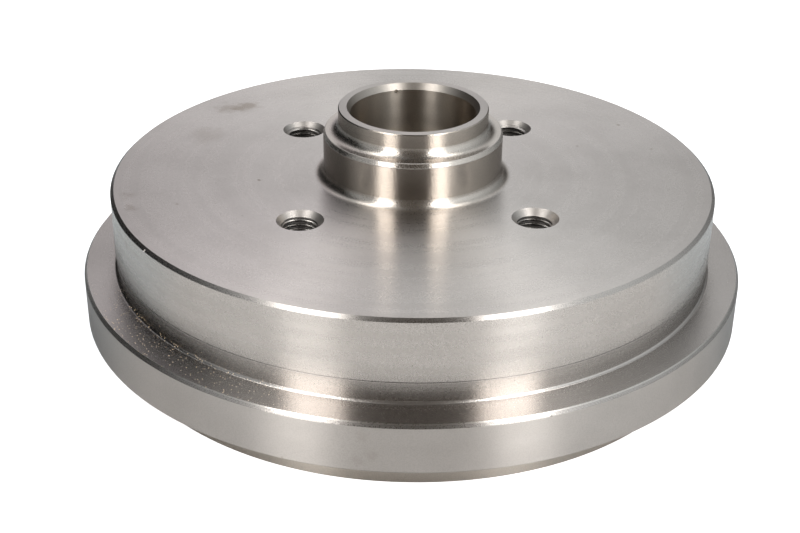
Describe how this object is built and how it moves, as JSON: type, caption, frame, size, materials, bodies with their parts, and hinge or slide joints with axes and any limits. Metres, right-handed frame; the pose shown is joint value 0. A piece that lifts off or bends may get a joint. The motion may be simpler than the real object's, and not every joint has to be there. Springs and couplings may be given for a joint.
{
  "type": "brake drum",
  "caption": "Brake drum turned in one piece with its wheel hub: round wall, heavy flange and lip at the open end, countersunk tapped bolt holes, stepped hub with bearing seats.",
  "frame": {"origin": "centre of the drum's open end, on the plane of the lip's end face", "axes": "+Z along the wheel axis, from the open end towards the hub; the bolt holes lie on the diagonals between X and Y"},
  "size_m": [0.212, 0.212, 0.0745],
  "materials": {
    "machined_iron": "fine turned, bare"
  },
  "bodies": {
    "root": {"brake_drum": "machined_iron"}
  },
  "joints": []
}
